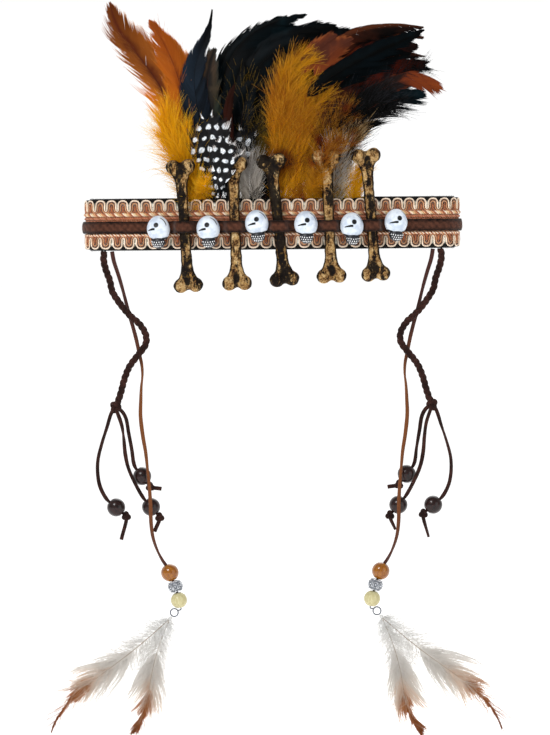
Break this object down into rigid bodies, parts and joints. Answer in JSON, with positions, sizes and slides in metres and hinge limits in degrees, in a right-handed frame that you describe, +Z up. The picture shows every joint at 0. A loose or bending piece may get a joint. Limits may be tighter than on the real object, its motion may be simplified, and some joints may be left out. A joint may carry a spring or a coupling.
{
  "type": "feathered headdress",
  "caption": "Costume headband: a felt and gimp loop with upright bones, skull beads and a tall feather crest in front, and braided ties and beaded feather pendants at the temples.",
  "frame": {"origin": "middle of the loop that goes round the head, at half the band's height", "axes": "+X to the right in the front view (the wearer's left), -Y the front with the bones and the crest, +Z up"},
  "size_m": [0.3024, 0.1106, 0.4873],
  "materials": {
    "felt": "matt black felt",
    "gimp": "cream, rust and brown scrolled gimp braid",
    "suede": "dark brown suede",
    "lace": "brown suede lace, darker at the top",
    "bone": "painted resin, mottled cream, gold and black",
    "skull": "white resin with black painted features",
    "dark_wood": "dark lacquered wood",
    "amber_wood": "amber lacquered wood",
    "cream_wood": "cream lacquered wood",
    "silver": "plated metal",
    "rust_feather": "rust feather with a dark middle",
    "black_feather": "black feather with a green and blue sheen",
    "bronze_feather": "dark bronze feather",
    "orange_feather": "orange-yellow marabou",
    "spotted_feather": "black feather with white dots",
    "grey_feather": "grey downy feather",
    "white_feather": "white feather with tan and rust-brown tips"
  },
  "bodies": {
    "root": {"felt_band": "felt", "gimp_trim": "gimp", "dark_strip": "suede", "bone_1": "bone", "bone_2": "bone", "bone_3": "bone", "bone_4": "bone", "bone_5": "bone", "skull_bead_1": "skull", "skull_bead_2": "skull", "skull_bead_3": "skull", "skull_bead_4": "skull", "skull_bead_5": "skull", "skull_bead_6": "skull", "rust_hackle_long": "rust_feather", "rust_hackle_short": "rust_feather", "yellow_plume": "orange_feather", "spotted_feather_left": "spotted_feather", "black_hook_feather": "black_feather", "bronze_feather": "bronze_feather", "spotted_feather_right": "spotted_feather", "black_arch_outer": "black_feather", "black_arch_inner": "black_feather", "grey_plume_left": "grey_feather", "rust_black_top": "rust_feather", "orange_plume_centre": "orange_feather", "rust_black_middle": "rust_feather", "orange_plume_right": "orange_feather", "black_right_feather": "black_feather", "rust_tip_feather": "rust_feather", "black_plume_right": "black_feather", "grey_plume_right": "grey_feather", "tan_plume_right": "orange_feather", "tie_braid_left": "suede", "tie_strand_outer_left": "suede", "dark_bead_outer_left": "dark_wood", "tie_strand_middle_left": "suede", "dark_bead_middle_left": "dark_wood", "tie_strand_inner_left": "suede", "dark_bead_inner_left": "dark_wood", "pendant_lace_left": "lace", "amber_bead_left": "amber_wood", "silver_bead_left": "silver", "cream_bead_left": "cream_wood", "eye_pin_left": "silver", "pendant_plume_left": "white_feather", "tie_braid_right": "suede", "tie_strand_outer_right": "suede", "dark_bead_outer_right": "dark_wood", "tie_strand_middle_right": "suede", "dark_bead_middle_right": "dark_wood", "tie_strand_inner_right": "suede", "dark_bead_inner_right": "dark_wood", "pendant_lace_right": "lace", "amber_bead_right": "amber_wood", "silver_bead_right": "silver", "cream_bead_right": "cream_wood", "eye_pin_right": "silver", "pendant_plume_right": "white_feather"}
  },
  "joints": []
}
